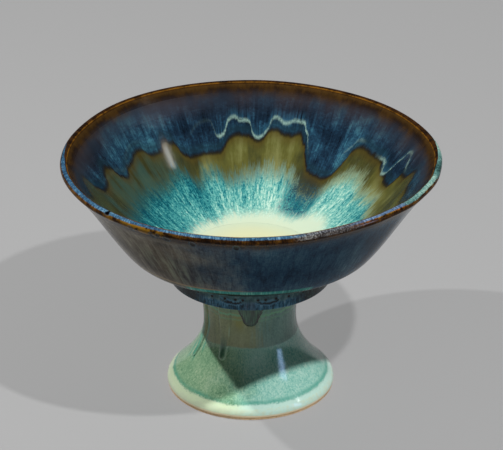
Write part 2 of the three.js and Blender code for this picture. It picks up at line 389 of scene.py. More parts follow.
# Inside of the bowl. The lines are drawn for the back, in degrees to the right of it and millimetres from
# the axis, and the front half, which the photo hides, repeats them wider and shifted.
insideLook = {
    "shine": {"Roughness": 0.1}, "bump": 0.04, "repeat": 1.25, "frontShift": 26,
    "oliveTop": [
        (-100, 104), (-95.7, 107.7), (-92.5, 110.9), (-89, 104), (-85.7, 99.6), (-82.5, 96.7), (-78, 97.2),
        (-74, 101.2), (-71.4, 102), (-68.6, 99.2), (-65.7, 94.2), (-62.9, 92.4), (-60, 95.6), (-55.7, 96.7),
        (-50, 99.6), (-47, 98.2), (-43.5, 95.4), (-39.3, 95.4), (-37, 99.4), (-34.3, 98.4), (-31.4, 94.7),
        (-28.6, 90.4), (-24.3, 89.2), (-19.3, 89.9), (-14.3, 89.3), (-12, 90.8), (-8.6, 95.6), (-5, 97.2),
        (0, 95.8), (3.2, 94.5), (5.7, 96.3), (7.9, 99.4), (10, 99.9), (13, 98.2), (16.4, 97.7),
        (19.8, 99.2), (21.4, 97.7), (23.6, 92), (25.7, 86.4), (28.6, 82.2), (32, 80.8), (36, 80.4),
        (40, 82.8), (42.1, 87.2), (43.6, 92.8), (46.2, 99.8), (49, 101), (54.3, 100.2), (60, 99.9),
        (63, 97.7), (66, 95.6), (68.6, 95.1), (71.4, 93.4), (74.3, 93.5), (75.7, 96.3), (77, 102),
        (80, 102.2), (82.1, 105.6), (84.6, 108.2), (86.4, 104.2), (88.8, 102), (92, 100.8), (93.8, 97.7),
        (100, 101),
    ],
    "paleLine": [
        (-100, 106), (-84, 104), (-78, 99), (-66, 98.5), (-62, 96), (-57, 100.5), (-50, 103.5), (-40, 101),
        (-30, 98.5), (-24.3, 100.2), (-20.7, 103.6), (-16.6, 104.8), (-14.3, 99.9), (-12.5, 97.3),
        (-10.7, 98.8), (-8, 104.4), (-6.4, 105.6), (-4.3, 104), (-1.4, 103.8), (0, 102), (1.4, 97),
        (3.2, 96.2), (5.4, 98.1), (7.1, 101.3), (9.3, 105.6), (11, 105.2), (14, 103.3), (16.8, 104.9),
        (20.7, 104.8), (22.1, 102), (24.3, 95.6), (27, 90), (36, 88), (41, 95.5), (43.5, 99), (46.8, 104),
        (52, 103), (59.3, 100.9), (62.1, 101.3), (64.3, 97), (65.8, 96), (67.5, 97.4), (68.9, 102.7),
        (70.7, 107.2), (73.6, 111.3), (75, 108.4), (77, 104.6), (82, 104), (100, 106),
    ],
    "paleStrength": [
        (-100, 0), (-60, 0.05), (-30, 0), (-22, 0.05), (-16, 0.08), (-13.5, 0.4), (-12.2, 1), (22, 1),
        (24, 0.5), (27, 0), (38, 0), (42, 0.25), (46, 0.3), (50, 0), (57, 0.05), (60, 0.8), (70, 1),
        (74, 0.9), (77, 0.3), (80, 0), (100, 0),
    ],
    "tealTop": [
        (-100, 76), (-85, 78), (-70, 79), (-60, 80), (-50, 78), (-40, 81), (-35, 83), (-31, 77), (-28, 74),
        (-24, 79), (-18, 80), (-12, 74), (0, 76), (10, 79), (20, 76), (26, 71), (33, 68), (40, 73),
        (46, 83), (52, 87), (57, 88), (62, 82), (66, 84), (72, 85), (78, 80), (84, 76), (100, 70),
    ],
    "creamTop": [
        (-100, 46), (-60, 45), (-45, 47), (-30, 46), (-22, 47), (-15, 50), (-5, 49), (5, 49), (15, 50),
        (25, 50), (34, 50), (40, 53), (46, 56), (54, 58), (60, 56), (66, 53), (74, 49), (100, 46),
    ],
    # how white the teal is by degrees: partly the glaze, partly painted shade that darkens the left wall
    "whitenessAndShade": [
        (-100, -0.26), (-60, -0.2), (-40, -0.08), (-30, -0.16), (-22, 0.02), (0, 0.04), (12, 0.18),
        (24, 0.08), (33, -0.1), (42, 0.12), (52, 0.22), (58, 0.2), (68, 0.1), (80, 0), (100, -0.15),
    ],
    "oliveLight": [
        (-100, -0.14), (-60, -0.14), (-40, -0.12), (-28, -0.16), (-20, 0.26), (-8, 0.02), (12, 0.1),
        (24, -0.12), (33, -0.3), (42, -0.14), (55, -0.12), (70, 0.18), (80, -0.08), (100, -0.1),
    ],
    "wisps": [
        (-100, -0.15), (-82, 0.02), (-74, -0.12), (-66, 0.1), (-55, 0.28), (-42, 0.26), (-30, 0.04),
        (-10, -0.1), (20, 0), (33, 0.06), (38, 0.1), (43, 0.3), (48, 0.14), (55, 0.02), (66, -0.1),
        (82, 0.1), (100, 0.05),
    ],
    "streaked": {"hair": (95, 0.3, 3, 0.6, 0.9), "lash": (120, 0.1, 2), "tuft": (24, 0.05, 4, 0.6, 0.4),
                 "sweep": (7, 0.02, 3, 0.55), "shift": (2.3, 0, 2)},
    "spotted": {"blot": (650, 3, 0.7), "haze": (75, 4, 0.6)},
    "teal": [(0.05, "0c4654"), (0.3, "23777e"), (0.5, "4f9f9b"), (0.7, "86c2b4"), (0.95, "c6e2d0")],
    "cream": ("c9d8bf", "d9dab0"),
    "olive": [(0.05, "23261a"), (0.35, "424223"), (0.6, "5d5c2c"), (0.95, "858654")],
    "steel": "2a4f4e",
    "veil": [(0.1, "26504f"), (0.3, "4a7068"), (0.5, "84a092"), (0.75, "8f9f80"), (0.95, "a3a878")],
    "blue": [(0.05, "0a1622"), (0.4, "172a3c"), (0.65, "24465c"), (0.95, "3f7486")],
    "fringe": "4c3d17", "edgeLine": "1f190f", "shade": "1b343f", "pale": "93b3a7", "lash": "30607a",
    # the dark patch and the smoke above it: middle, then half width and half height
    "patch": ("0e2f40", "1f586a"), "patchDegrees": 31.5, "patchRadius": 64,
    "smoke": "32362d", "smokeRadius": 75,
    "violet": ("2c313b", "393030"), "brown": ("231810", "3e2b14"),
    "amber": ("42290c", "7c5418"), "amberWall": "4c3618",
    # the brown near the lip is less glossy
    "satinFrom": (104, 114), "satin": 0.3,
}


def insideColour(place):
    look = insideLook
    radius = place["radius"]
    hair, lash, tuft, sweep, shift, blot, haze = noises(place, radius, look)
    away = size(place["fromBack"])
    folded = times(minus(180.0, away), look["repeat"])
    angle = times(calc("SIGN", place["fromBack"]), calc("MINIMUM", away, folded))
    angle = sway(angle, (tuft, 3.0), (hair, 1.2))
    moved = sway(radius, (shift, times(ease(away, 96, 125), look["frontShift"])))

    # Teal and cream; the teal's tone by degrees is partly the glaze and partly painted shade, darker on the
    # left wall
    tone = calc("ADD", 0.4, drawn(angle, look["whitenessAndShade"], -0.5, 0.5))
    tone = sway(tone, (hair, 1.35), (tuft, 0.9), (blot, 0.9))
    colour = ramp(scaled(ease(moved, 78, 50), 0.2, tone), look["teal"])
    creamEdge = sway(minus(moved, drawn(angle, look["creamTop"], 40, 70)), (hair, 20), (tuft, 14))
    cream = blend(ease(moved, 50, 22), *look["cream"])
    colour = blend(ease(creamEdge, 5, -4), colour, cream)

    # Olive, with the teal streaks reaching up into it
    oliveTone = calc("ADD", 0.5, drawn(angle, look["oliveLight"], -0.5, 0.5))
    olive = ramp(sway(oliveTone, (tuft, 0.55), (sweep, 0.9), (haze, 0.5), (hair, 0.2)), look["olive"])
    steel = times(ease(angle, -26, -52), ease(sway(sweep, (tuft, 0.7)), 0.36, 0.66))
    olive = over(olive, look["steel"], steel, 0.7)
    oliveEdge = sway(minus(moved, drawn(angle, look["tealTop"], 60, 92)), (lash, 10), (tuft, 14), (hair, 12))
    veil = ramp(ease(angle, -70, 80), look["veil"])
    colour = blend(ease(oliveEdge, -6, 6), colour, olive)
    colour = over(colour, veil, near(oliveEdge, 0, 8), 0.45)

    # Dark patch under the deepest dip of the navy
    aside = size(minus(sway(angle, (blot, 12), (lash, 10)), look["patchDegrees"]))
    fromPatch, fromSmoke = (size(minus(moved, look[name])) for name in ("patchRadius", "smokeRadius"))
    ragged = ease(sway(0.5, (blot, 2.6), (hair, 2.4)), 0.1, 0.8)
    patch = blend(ease(blot, 0.35, 0.65), *look["patch"])
    colour = over(colour, patch, ease(aside, 15, 6), ease(fromPatch, 15, 7), ragged)
    colour = over(colour, look["smoke"], ease(aside, 10, 3), ease(fromSmoke, 9, 4), 0.7)

    # Navy above the olive, with the brown edge and fine bands along it
    edge = sway(minus(moved, drawn(angle, look["oliveTop"], 78, 114)), (hair, 1.2), (tuft, 1.6))
    colour = over(colour, look["fringe"], ease(edge, -6, -0.5), 0.6)
    blueTone = calc("ADD", 0.42, drawn(angle, look["wisps"], -0.5, 0.5))
    blueTone = sway(blueTone, (haze, 1.3), (tuft, 1.0), (blot, 0.7), (lash, 0.5))
    bands = times(calc("SINE", times(edge, 3.2)), ease(edge, 9, 3), 0.05)
    blue = ramp(calc("ADD", blueTone, bands), look["blue"])
    colour = blend(ease(edge, -0.8, 1.2), colour, blue)
    colour = over(colour, look["shade"], near(edge, 3.2, 3.6), 0.6)
    colour = over(colour, look["edgeLine"], near(edge, 0.3, 1.9), 0.8)

    # Pale line in the navy, with lashes above it
    strength = drawn(angle, look["paleStrength"], 0, 1)
    abovePale = sway(minus(moved, drawn(angle, look["paleLine"], 84, 114)), (hair, 1.2))
    lashes = times(ease(abovePale, -0.5, 0.8), ease(abovePale, 6, 0.5), ease(lash, 0.3, 0.6))
    colour = over(colour, look["lash"], lashes, strength, 0.5)
    core = times(near(abovePale, 0, 1.5), ease(sway(0.6, (tuft, 1.6), (blot, 1.4)), 0.0, 0.9))
    colour = over(colour, look["pale"], core, strength, 0.85)

    # Violet and brown up to the lip, and amber under it at the back
    violet = blend(ease(sweep, 0.4, 0.6), *look["violet"])
    colour = over(colour, violet, ease(sway(radius, (tuft, 8), (haze, 8)), 103, 117), 0.8)
    brown = blend(ease(haze, 0.4, 0.65), *look["brown"])
    colour = blend(ease(sway(radius, (lash, 2), (haze, 4)), 113, 118.5), colour, brown)
    amber = ease(sway(radius, (lash, 2), (tuft, 3)), 117.5, 120.5)
    colour = over(colour, look["amberWall"], amber, ease(away, 104, 80), 0.8)
    return colour, hair, blot


def insidePaint(place):
    look = insideLook
    colour, hair, blot = insideColour(place)
    satin = scaled(ease(place["radius"], *look["satinFrom"]), look["satin"], look["shine"]["Roughness"])
    link(satin, board["shader"].inputs["Roughness"])
    return colour, sway(hair, (blot, 0.6))


poolLook = {"shine": {"Roughness": 0.08}, "bump": 0.02}


def poolPaint(place):
    return insideColour(place)[::2]      # the colour and the blots


# Lip. "roll" is the angle round the lip from its top, positive to the inside. A name with "From" or "To" has
# where a change begins and ends, in degrees from the front, and one with "At" has a middle and a half width.
lipLook = {
    "shine": {"Roughness": 0.12, "Specular IOR Level": 0.04}, "bump": 0.1,
    "streaked": {"streak": (130, 0.012, 3)},
    "spotted": {"speckle": (900, 3, 0.7), "drift": (30, 3), "blotch": (160, 3)},
    "steel": [(0.15, "142536"), (0.4, "284862"), (0.6, "3e6684"), (0.85, "769eb4")],
    "mauve": [(0.15, "2c3a4e"), (0.5, "567090"), (0.85, "8ea8c0")], "mauveFrom": (24, 32),
    "seafoam": [(0.15, "24403e"), (0.5, "5a8480"), (0.85, "a4c4b4")], "seafoamFrom": (50, 58),
    "stone": [(0.15, "1e1a19"), (0.4, "443f3e"), (0.6, "6c6a69"), (0.85, "9a9d9a")],
    "stoneFrom": (14, 18), "stoneTo": (37, 29), "stoneRoll": (-112, -96),
    "amber": [(0.2, "1e120a"), (0.4, "3a2410"), (0.65, "664316"), (0.9, "94681e")],
    "amberAt": (-60, 34), "gold": "966e1e", "goldAt": (-34, 16),
    "orange": "b86c20", "orangeFrom": (26, 34), "orangeTo": (56, 52),
    # the lilac band on the lip's outer side is a painted highlight
    "goldPatchFrom": (40, 43), "goldPatchTo": (50, 47), "lilacHighlight": "8e7f88", "lilacHighlightAt": (36, 8),
    # the roll where the blue ends on either side, and the middle of the amber line, by degrees from the front
    "innerStart": [
        (-180, -50), (-110, -45), (-99, -20), (-91, 2), (-84, 20), (-70, 20), (-55, 18), (-40, 3),
        (-20, -2), (10, -2), (40, 5), (60, 22), (80, 24), (90, 6), (99, -14), (112, -45), (180, -50),
    ],
    "outerStart": [
        (-180, -20), (-110, -30), (-90, -40), (-75, -43), (-60, -46), (-42, -54), (-30, -46), (-10, -52),
        (12, -52), (30, -46), (40, -40), (50, -42), (60, -56), (70, -46), (80, -84), (92, -92), (104, -64),
        (125, -20), (180, -20),
    ],
    "lineMiddle": [
        (-180, 40), (-120, 42), (-100, 44), (-88, 46), (-75, 40), (-50, 34), (-20, 12), (10, 12), (40, 20),
        (60, 40), (80, 50), (95, 56), (115, 52), (150, 42), (180, 40),
    ],
    "innerEdge": ("1d130d", "3c2510"),
    # brown under the lip, by height, and a painted shadow line in it under the lip's overhang, weaker at the
    # front
    "under": ("2c231f", "4a392b"), "underFrom": (154, 160.5),
    "dark": "140e0a", "shadowLineHeight": 159.0,
    # pits in the glaze: degrees from the front, height, half width and half height in millimetres
    # pits: a ring colour, and black painted shade for their hollows
    "pitRing": "3c5a66", "pitShade": "040508",
    "pits": [
        (-47.5, 165.3, 2.2, 1), (-38, 161, 1.8, 2), (-30.6, 160.2, 1.9, 2.4),
        (-28.4, 161.4, 1.5, 1.5), (-26, 159.4, 2, 2.2), (-17.8, 158.2, 2, 2.5),
        (-4.3, 157.8, 2, 2.5), (52, 160, 1.5, 1.8), (96, 159.4, 1.8, 2.2), (141, 160.6, 1.6, 2),
        (-104, 160.2, 1.7, 2.1),
    ],
}


def pitDistance(place, pits, radius):      # 0 in the middle of a pit, 1 at its edge
    nearest = None
    for degrees, height, halfWidth, halfHeight in pits:
        aside = times(minus(place["side"], degrees), math.radians(radius) / halfWidth)
        above = times(minus(place["height"], height), 1 / halfHeight)
        away = calc("SQRT", scaled(aside, aside, times(above, above)))
        nearest = away if nearest is None else calc("MINIMUM", nearest, away)
    return nearest


def addPits(colour, bumps, pit, look):
    colour = over(colour, look["pitRing"], near(pit, 1.15, 0.4), 0.6)
    # the black middle of each pit is painted shade in its hollow
    colour = blend(ease(pit, 1.0, 0.7), colour, look["pitShade"])
    return colour, scaled(ease(pit, 0.3, 1.1), 3.0, bumps)


def lipColour(place, roll, streak, speckle, drift, blotch):
    look = lipLook

    # Along the lip: steel blue, then mauve and seafoam on the right
    tone = sway(0.5, (speckle, 1.0), (streak, 1.1), (drift, 0.8))
    side = sway(place["side"], (drift, 14), (blotch, 10))
    top = blend(ease(side, *look["mauveFrom"]), ramp(tone, look["steel"]), ramp(tone, look["mauve"]))
    top = blend(ease(side, *look["seafoamFrom"]), top, ramp(sway(tone, (drift, 1.6)), look["seafoam"]))

    # Brown breaks through on its outer side, with amber on the left and gold and orange on the right
    brownTone = scaled(near(side, *look["amberAt"]), 0.14, 0.4)
    brown = ramp(sway(brownTone, (speckle, 0.8), (streak, 0.6), (blotch, 1.3)), look["amber"])
    brown = over(brown, look["gold"], near(side, *look["goldAt"]), ease(blotch, 0.42, 0.56), 0.8)
    wobbled = sway(roll, (streak, 16), (blotch, 20), (speckle, 10))
    outer = minus(wobbled, drawn(place["side"], look["outerStart"], -120, 20))
    colour = blend(ease(outer, 6, -6), top, brown)
    onRight = times(ease(side, *look["orangeFrom"]), ease(side, *look["orangeTo"]))
    bright = times(onRight, near(outer, -7, 13), ease(sway(0.4, (blotch, 2), (streak, 1)), 0.1, 0.6))
    goldPatch = times(ease(side, *look["goldPatchFrom"]), ease(side, *look["goldPatchTo"]))
    warm = blend(goldPatch, look["orange"], look["gold"])
    colour = over(colour, warm, bright, ease(side, 28, 44))
    # painted highlight: a lilac band along the lip's outer side
    colour = over(colour, look["lilacHighlight"], near(side, *look["lilacHighlightAt"]), near(outer, -32, 12), 0.7)
    stone = ramp(sway(tone, (speckle, 0.9)), look["stone"])
    atStone = times(ease(side, *look["stoneFrom"]), ease(side, *look["stoneTo"]))
    colour = over(colour, stone, atStone, ease(roll, *look["stoneRoll"]), 0.85)

    # Dark inner edge, with the amber line
    innerEdge = blend(ease(blotch, 0.35, 0.6), *look["innerEdge"])
    inwards = minus(wobbled, drawn(place["side"], look["innerStart"], -60, 60))
    colour = blend(ease(inwards, -5, 5), colour, innerEdge)
    fromLine = minus(sway(roll, (blotch, 10)), drawn(place["side"], look["lineMiddle"], 0, 60))
    lineColour = blend(ease(sway(blotch, (streak, 0.4)), 0.3, 0.6), *insideLook["amber"])
    return over(colour, lineColour, near(fromLine, 0, 16), 0.95)


def lipPaint(place):
    look = lipLook
    outwards = minus(place["radius"], bowl["rimRadius"] - bowl["lipRadius"])
    above = minus(place["height"], bowl["height"] - bowl["lipRadius"])
    roll = times(calc("ARCTAN2", times(outwards, -1.0), above), 180 / math.pi)
    streak, speckle, drift, blotch = noises(place, roll, look)
    colour = lipColour(place, roll, streak, speckle, drift, blotch)
    colour = blend(ease(roll, 56, 72), colour, insideColour(place)[0])

    # Where it runs into the wall
    wallNoise = noises(place, place["height"], outsideLook)
    wallColour = outsideUpper(place, outsideBase(place, wallNoise), wallNoise)
    onWall = ease(scaled(above, -0.85, outwards), -0.5, 0.5)
    runsDown = sway(above, (streak, 2), (blotch, 1.5))
    colour = over(colour, wallColour, onWall, ease(runsDown, -2.9, -4.1))
    onInside = times(ease(roll, 10, 40), minus(1.0, onWall), 9.0)      # no pits there
    pit = calc("ADD", pitDistance(place, look["pits"], bowl["rimRadius"]), onInside)
    return addPits(colour, speckle, pit, look)


# Outside wall
outsideLook = {
    "shine": {"Roughness": 0.13, "Specular IOR Level": 0.03}, "bump": 0.05,
    "streaked": {"hair": (150, 0.16, 3, 0.6, 0.4), "tuft": (26, 0.05, 4, 0.6, 0.6)},
    "spotted": {"cloud": (34, 4, 0.6), "grain": (600, 3, 0.7)},
    "slate": [(0.1, "162e44"), (0.4, "2a4b63"), (0.65, "3f6478"), (0.95, "608894")],
    "brownGrey": [(0.1, "443c33"), (0.4, "686052"), (0.65, "827a6a"), (0.95, "a49e8c")],
    # a slanted patch of pale streaks: middle and half, in degrees and in height
    "streaks": "8f9c84", "streaksAt": (-32, 18), "streaksHeight": (128.0, 24),
    # shares by degrees from the front; the brown-grey on the left is partly glaze and partly a painted
    # reflection of the lit floor
    "brownAndReflectionShare": [
        (-180, 0.3), (-130, 0.7), (-80, 0.9), (-44, 0.9), (-28, 0.7), (-16, 0.45), (0, 0.2), (12, 0.05),
        (60, 0), (100, 0.15), (140, 0.5), (180, 0.3),
    ],
    "stripShare": [
        (-180, 0.5), (-120, 0.35), (-60, 0.05), (-31, 0), (-27, 0.9), (0, 1), (25.5, 1), (29, 0),
        (60, 0.05), (140, 0.5), (180, 0.5),
    ],
    # teal strip over a painted shadow line at the belly's edge, sagging to the sides, with a tan line above
    # it on the left
    "strip": [(0.2, "1f6c6a"), (0.5, "3b9c92"), (0.8, "84cbb6")], "edge": "12232b",
    "stripTop": 113.2, "stripLow": 110.2, "stripSoft": (0.3, -0.5), "stripSag": 1.8, "sagReach": 27,
    "tan": "a8906c",
}


def outsideBase(place, wallNoise):
    look = outsideLook
    hair, tuft, cloud, grain = wallNoise
    slateTone = sway(0.42, (hair, 0.6), (tuft, 0.8), (cloud, 1.2), (grain, 0.7))
    greyTone = sway(0.45, (hair, 0.5), (tuft, 1.3), (cloud, 1.2), (grain, 0.5))
    # brown-grey over the slate, on the left partly a painted reflection of the lit floor
    share = drawn(sway(place["side"], (tuft, 16)), look["brownAndReflectionShare"], 0, 1)
    share = ease(sway(share, (cloud, 1.0)), 0.1, 0.9)
    return blend(share, ramp(slateTone, look["slate"]), ramp(greyTone, look["brownGrey"]))


def outsideUpper(place, colour, wallNoise):      # brown under the lip, and the painted shadow line under the lip at the sides
    look = lipLook
    hair, tuft, cloud = wallNoise[:3]
    under = blend(ease(hair, 0.35, 0.65), *look["under"])
    lower = sway(place["height"], (tuft, 8), (cloud, 6), (hair, 3))
    colour = blend(ease(lower, *look["underFrom"]), colour, under)
    toSides = scaled(ease(size(place["side"]), 16, 40), 0.45, 0.5)
    # painted shadow: a dark line under the lip's overhang
    shadowLine = near(sway(place["height"], (tuft, 1.0)), look["shadowLineHeight"], 1.3)
    return over(colour, look["dark"], shadowLine, toSides)


def addStrip(place, colour, hair, tuft):
    look = outsideLook
    side = place["side"]
    share = drawn(sway(side, (tuft, 4)), look["stripShare"], 0, 1)
    aside = times(side, 1 / look["sagReach"])
    sag = times(calc("MINIMUM", times(aside, aside), 1.0), look["stripSag"])
    wavy = sway(calc("ADD", place["height"], sag), (tuft, 0.8), (hair, 0.4))
    tan = near(wavy, look["stripTop"] + 0.6, 1.2)
    colour = over(colour, look["tan"], tan, ease(side, 10, -24), 0.8)
    strip = ramp(sway(0.5, (hair, 0.9), (tuft, 1.2)), look["strip"])
    colour = over(colour, strip, ease(minus(wavy, look["stripTop"]), *look["stripSoft"]), share)
    # below the strip, a dark painted shadow line along the belly's edge
    return blend(ease(minus(wavy, look["stripLow"]), *look["stripSoft"]), colour, look["edge"])


def outsidePaint(place):
    look = outsideLook
    height = place["height"]
    wallNoise = noises(place, height, look)
    hair, tuft = wallNoise[:2]
    colour = outsideBase(place, wallNoise)
    slanted = scaled(minus(height, look["streaksHeight"][0]), 0.5, place["side"])
    patch = times(near(slanted, *look["streaksAt"]), near(height, *look["streaksHeight"]))
    colour = over(colour, look["streaks"], patch, ease(tuft, 0.42, 0.66), 0.6)
    colour = outsideUpper(place, colour, wallNoise)
    colour = addStrip(place, colour, hair, tuft)
    pit = pitDistance(place, lipLook["pits"], bowl["rimRadius"])
    return addPits(colour, hair, pit, lipLook)


# Collar and undercut
collarLook = {
    "shine": {"Roughness": 0.12, "Specular IOR Level": 0.25}, "bump": 0.12,
    "streaked": {"hair": (52, 0.14, 3, 0.6, 0.3), "tuft": (15, 0.1, 4, 0.6, 0.5)},
    "spotted": {"blot": (330, 4, 0.6)},
    "blue": [(0.1, "0c2836"), (0.35, "20546c"), (0.6, "3e7e9e"), (0.9, "86b2c8")],
    "middle": "6c8298", "upper": [(0.2, "28484c"), (0.5, "436c70"), (0.85, "709494")],
    # painted shade: a near-black colour for the upper collar towards its sides
    "end": [(0.25, "081214"), (0.5, "101e20"), (0.8, "3a564f")],
    "undercut": [(0.2, "0e1d20"), (0.8, "24484c")],
    # pinholes in a row round the collar, alike on both sides: degrees from the front
    "pinholes": [5.2, 10.4, 17.8, 27.2, 39, 52, 61, 77, 90, 104, 113, 131, 147, 158, 172],
    "pinholeHeight": 89.4, "pinholeSize": 1.15, "pitShade": "030508", "pitRing": "3c626c",
    # a dark sagging stroke on either side of the front, with a glint above and below
    "stroke": "050e18", "glint": "6aa6c8", "strokeMiddle": 12.5, "strokeReach": 8, "strokeHeight": 86.6,
    "strokeRise": 1.8,
}


def collarPaint(place):
    look = collarLook
    height = place["height"]
    hair, tuft, blot = noises(place, height, look)
    mirrored = size(place["side"])
    colour = ramp(sway(0.42, (hair, 1.7), (tuft, 1.2), (blot, 0.9)), look["blue"])
    colour = over(colour, look["middle"], ease(sway(mirrored, (hair, 14)), 7, 2), ease(hair, 0.35, 0.6), 0.6)
    upper = ramp(sway(0.5, (tuft, 1.2), (blot, 1.2)), look["upper"])
    colour = blend(ease(sway(height, (blot, 6), (hair, 4)), 86.4, 89.4), colour, upper)
    # painted shade: the upper collar darkens towards its sides
    end = ramp(sway(0.45, (blot, 1.6), (tuft, 1.4)), look["end"])
    shadedEnds = ease(sway(mirrored, (tuft, 14)), 30, 44)
    colour = over(colour, end, shadedEnds, ease(sway(height, (tuft, 14), (blot, 6)), 79, 84), 0.95)
    colour = blend(ease(place["radius"], 56, 60), colour, ramp(tuft, look["undercut"]))

    # Strokes and pinholes
    fromStroke = times(minus(mirrored, look["strokeMiddle"]), 1 / look["strokeReach"])
    sag = scaled(times(fromStroke, fromStroke), look["strokeRise"], look["strokeHeight"])
    aboveStroke = sway(minus(height, sag), (hair, 4), (tuft, 3))
    onStroke = ease(sway(size(fromStroke), (blot, 1.6)), 1.2, 0.7)
    glint = calc("MAXIMUM", near(aboveStroke, 1.6, 1.2), near(aboveStroke, -1.5, 0.9))
    colour = over(colour, look["glint"], onStroke, glint, 0.55)
    colour = over(colour, look["stroke"], onStroke, near(aboveStroke, 0, 1.2))
    hole = (look["pinholeHeight"], look["pinholeSize"], look["pinholeSize"])
    holes = [(degrees, *hole) for degrees in look["pinholes"]]
    pit = pitDistance({**place, "side": mirrored}, holes, bowl["collarRadius"])
    return addPits(colour, hair, pit, look)


# Stem and flare
stemLook = {
    "shine": {"Roughness": 0.1, "IOR": 1.6}, "bump": 0.05,
    "streaked": {"dash": (46, 0.42, 3, 0.65, 1.3), "hair": (56, 0.07, 3, 0.6, 0.5),
                 "tuft": (9, 0.03, 3, 0.6, 0.5)},
    "spotted": {"cloud": (45, 3), "grain": (700, 3, 0.7)},
    # jade at the left and aqua at the right: partly the glaze, partly painted light, warm from the left and
    # cool from the right
    "jade": [(0.05, "507e60"), (0.35, "7cac86"), (0.6, "a2caa0"), (0.95, "cfe0bc")],
    "aqua": [(0.05, "44988a"), (0.35, "82c8b8"), (0.6, "aee0d0"), (0.95, "d8f0e2")], "aquaSide": (-34, 16),
    # the upper coat, which ends a little lower at the left, with a yellow patch and the green swag; its lower
    # edge is partly where the coats overlap and partly a painted reflection line
    "coatEdgeAndReflection": 41, "yellow": "94943a", "swag": "4f9474", "swagLine": "74c090", "swagHeight": 65.2,
    "olive": [(0.05, "5c6644"), (0.4, "889466"), (0.65, "a0aa78"), (0.95, "b8c092")],
    "teal": [(0.05, "386058"), (0.4, "5a8c82"), (0.65, "7caa9c"), (0.95, "a4ccba")],
    # teal ring and pale band, by radius
    "ring": "48aa94", "ringRadius": 51.7, "pale": ("e2f4cc", "d6f8ea"), "paleTo": 53.2,
    # teal streaks: degrees, half width and lower end
    "streak": "3fa888", "streaks": [(-84, 4.5, 21), (-73, 3.2, 23), (-64, 2.2, 31)],
}


def toRightOf(place, cloud):      # from jade at the left to aqua at the right, partly the glaze and partly painted light, warm on the left and cool on the right
    return ease(sway(place["side"], (cloud, 60)), *stemLook["aquaSide"])


def upperCoat(place, dash, hair, tuft, cloud, grain):
    look = stemLook
    height, side = place["height"], place["side"]
    tone = sway(0.5, (hair, 0.45), (dash, 0.4), (tuft, 0.6), (grain, 0.7), (cloud, 0.5))
    toTeal = ease(sway(side, (tuft, 60)), -4, 30)
    colour = blend(toTeal, ramp(tone, look["olive"]), ramp(tone, look["teal"]))
    colour = over(colour, look["yellow"], near(sway(side, (hair, 14)), -14, 12), near(height, 59, 10), 0.8)
    aboveSwag = sway(minus(height, look["swagHeight"]), (tuft, 4), (hair, 2), (grain, 1.5))
    colour = over(colour, look["swag"], ease(aboveSwag, 0, 3), 0.5)
    swag = calc("MAXIMUM", near(aboveSwag, 0, 1.4), times(near(aboveSwag, -3.6, 1.0), 0.5))
    return over(colour, look["swagLine"], swag, 0.85)


def stemPaint(place):
    look = stemLook
    radius, height, side = place["radius"], place["height"], place["side"]
    dash, hair, tuft, cloud, grain = noises(place, minus(radius, height), look)
    tone = sway(0.5, (dash, 1.2), (hair, 0.4), (cloud, 0.6), (grain, 0.7))
    toRight = toRightOf(place, cloud)
    colour = blend(toRight, ramp(tone, look["jade"]), ramp(tone, look["aqua"]))
    level = scaled(near(side, -56, 26), 2.0, sway(height, (hair, 0.8), (tuft, 1.0)))
    # the upper coat's lower edge: partly a glaze overlap, partly a painted reflection line
    coat = ease(minus(level, look["coatEdgeAndReflection"]), -0.7, 0.9)
    colour = blend(coat, colour, upperCoat(place, dash, hair, tuft, cloud, grain))

    # Teal ring, and the pale band down to the foot's edge
    wavy = sway(radius, (dash, 3.5), (cloud, 3), (grain, 1.5))
    pale = over(blend(toRight, *look["pale"]), look["ring"], ease(dash, 0.4, 0.65), 0.1)
    colour = blend(ease(wavy, look["ringRadius"], look["paleTo"]), colour, pale)
    broken = ease(sway(0.5, (dash, 1.6), (cloud, 2.2)), 0, 0.9)
    colour = over(colour, look["ring"], near(wavy, look["ringRadius"], 1.7), broken, 0.8)

    # Thin teal streaks down the left of the flare
    wavering = sway(side, (tuft, 14))
    upTo = ease(height, 62, 54)
    for degrees, half, lowerEnd in look["streaks"]:
        streak = times(near(wavering, degrees, half), ease(height, lowerEnd - 3, lowerEnd + 2))
        colour = over(colour, look["streak"], streak, upTo, 0.8)
    return colour, dash


# Foot: pale glaze that thins to cream and then to a clay colour at its lower edge, by height; this bright
# edge line is partly a painted highlight
footLook = {
    "shine": {"Roughness": 0.1}, "bump": 0.03, "fine": (400, 4), "cloud": (45, 3),
    "milky": "dcebcb", "thinCreamAndHighlight": "ffecc4", "thinFrom": (3.7, 3.0), "bare": "f0c48a", "bareFrom": (2.3, 1.9),
}


def footPaint(place):
    look = footLook
    fine, cloud = (mottle(place["object"], *look[name]) for name in ("fine", "cloud"))
    cream = blend(toRightOf(place, cloud), *stemLook["pale"])
    colour = over(cream, look["milky"], ease(fine, 0.35, 0.7), 0.6)
    edge = sway(place["height"], (fine, 0.4), (cloud, 0.8))
    # the cream and clay colours at the edge are brightened, partly as a painted highlight
    colour = blend(ease(edge, *look["thinFrom"]), colour, look["thinCreamAndHighlight"])
    return blend(ease(edge, *look["bareFrom"]), colour, look["bare"]), fine


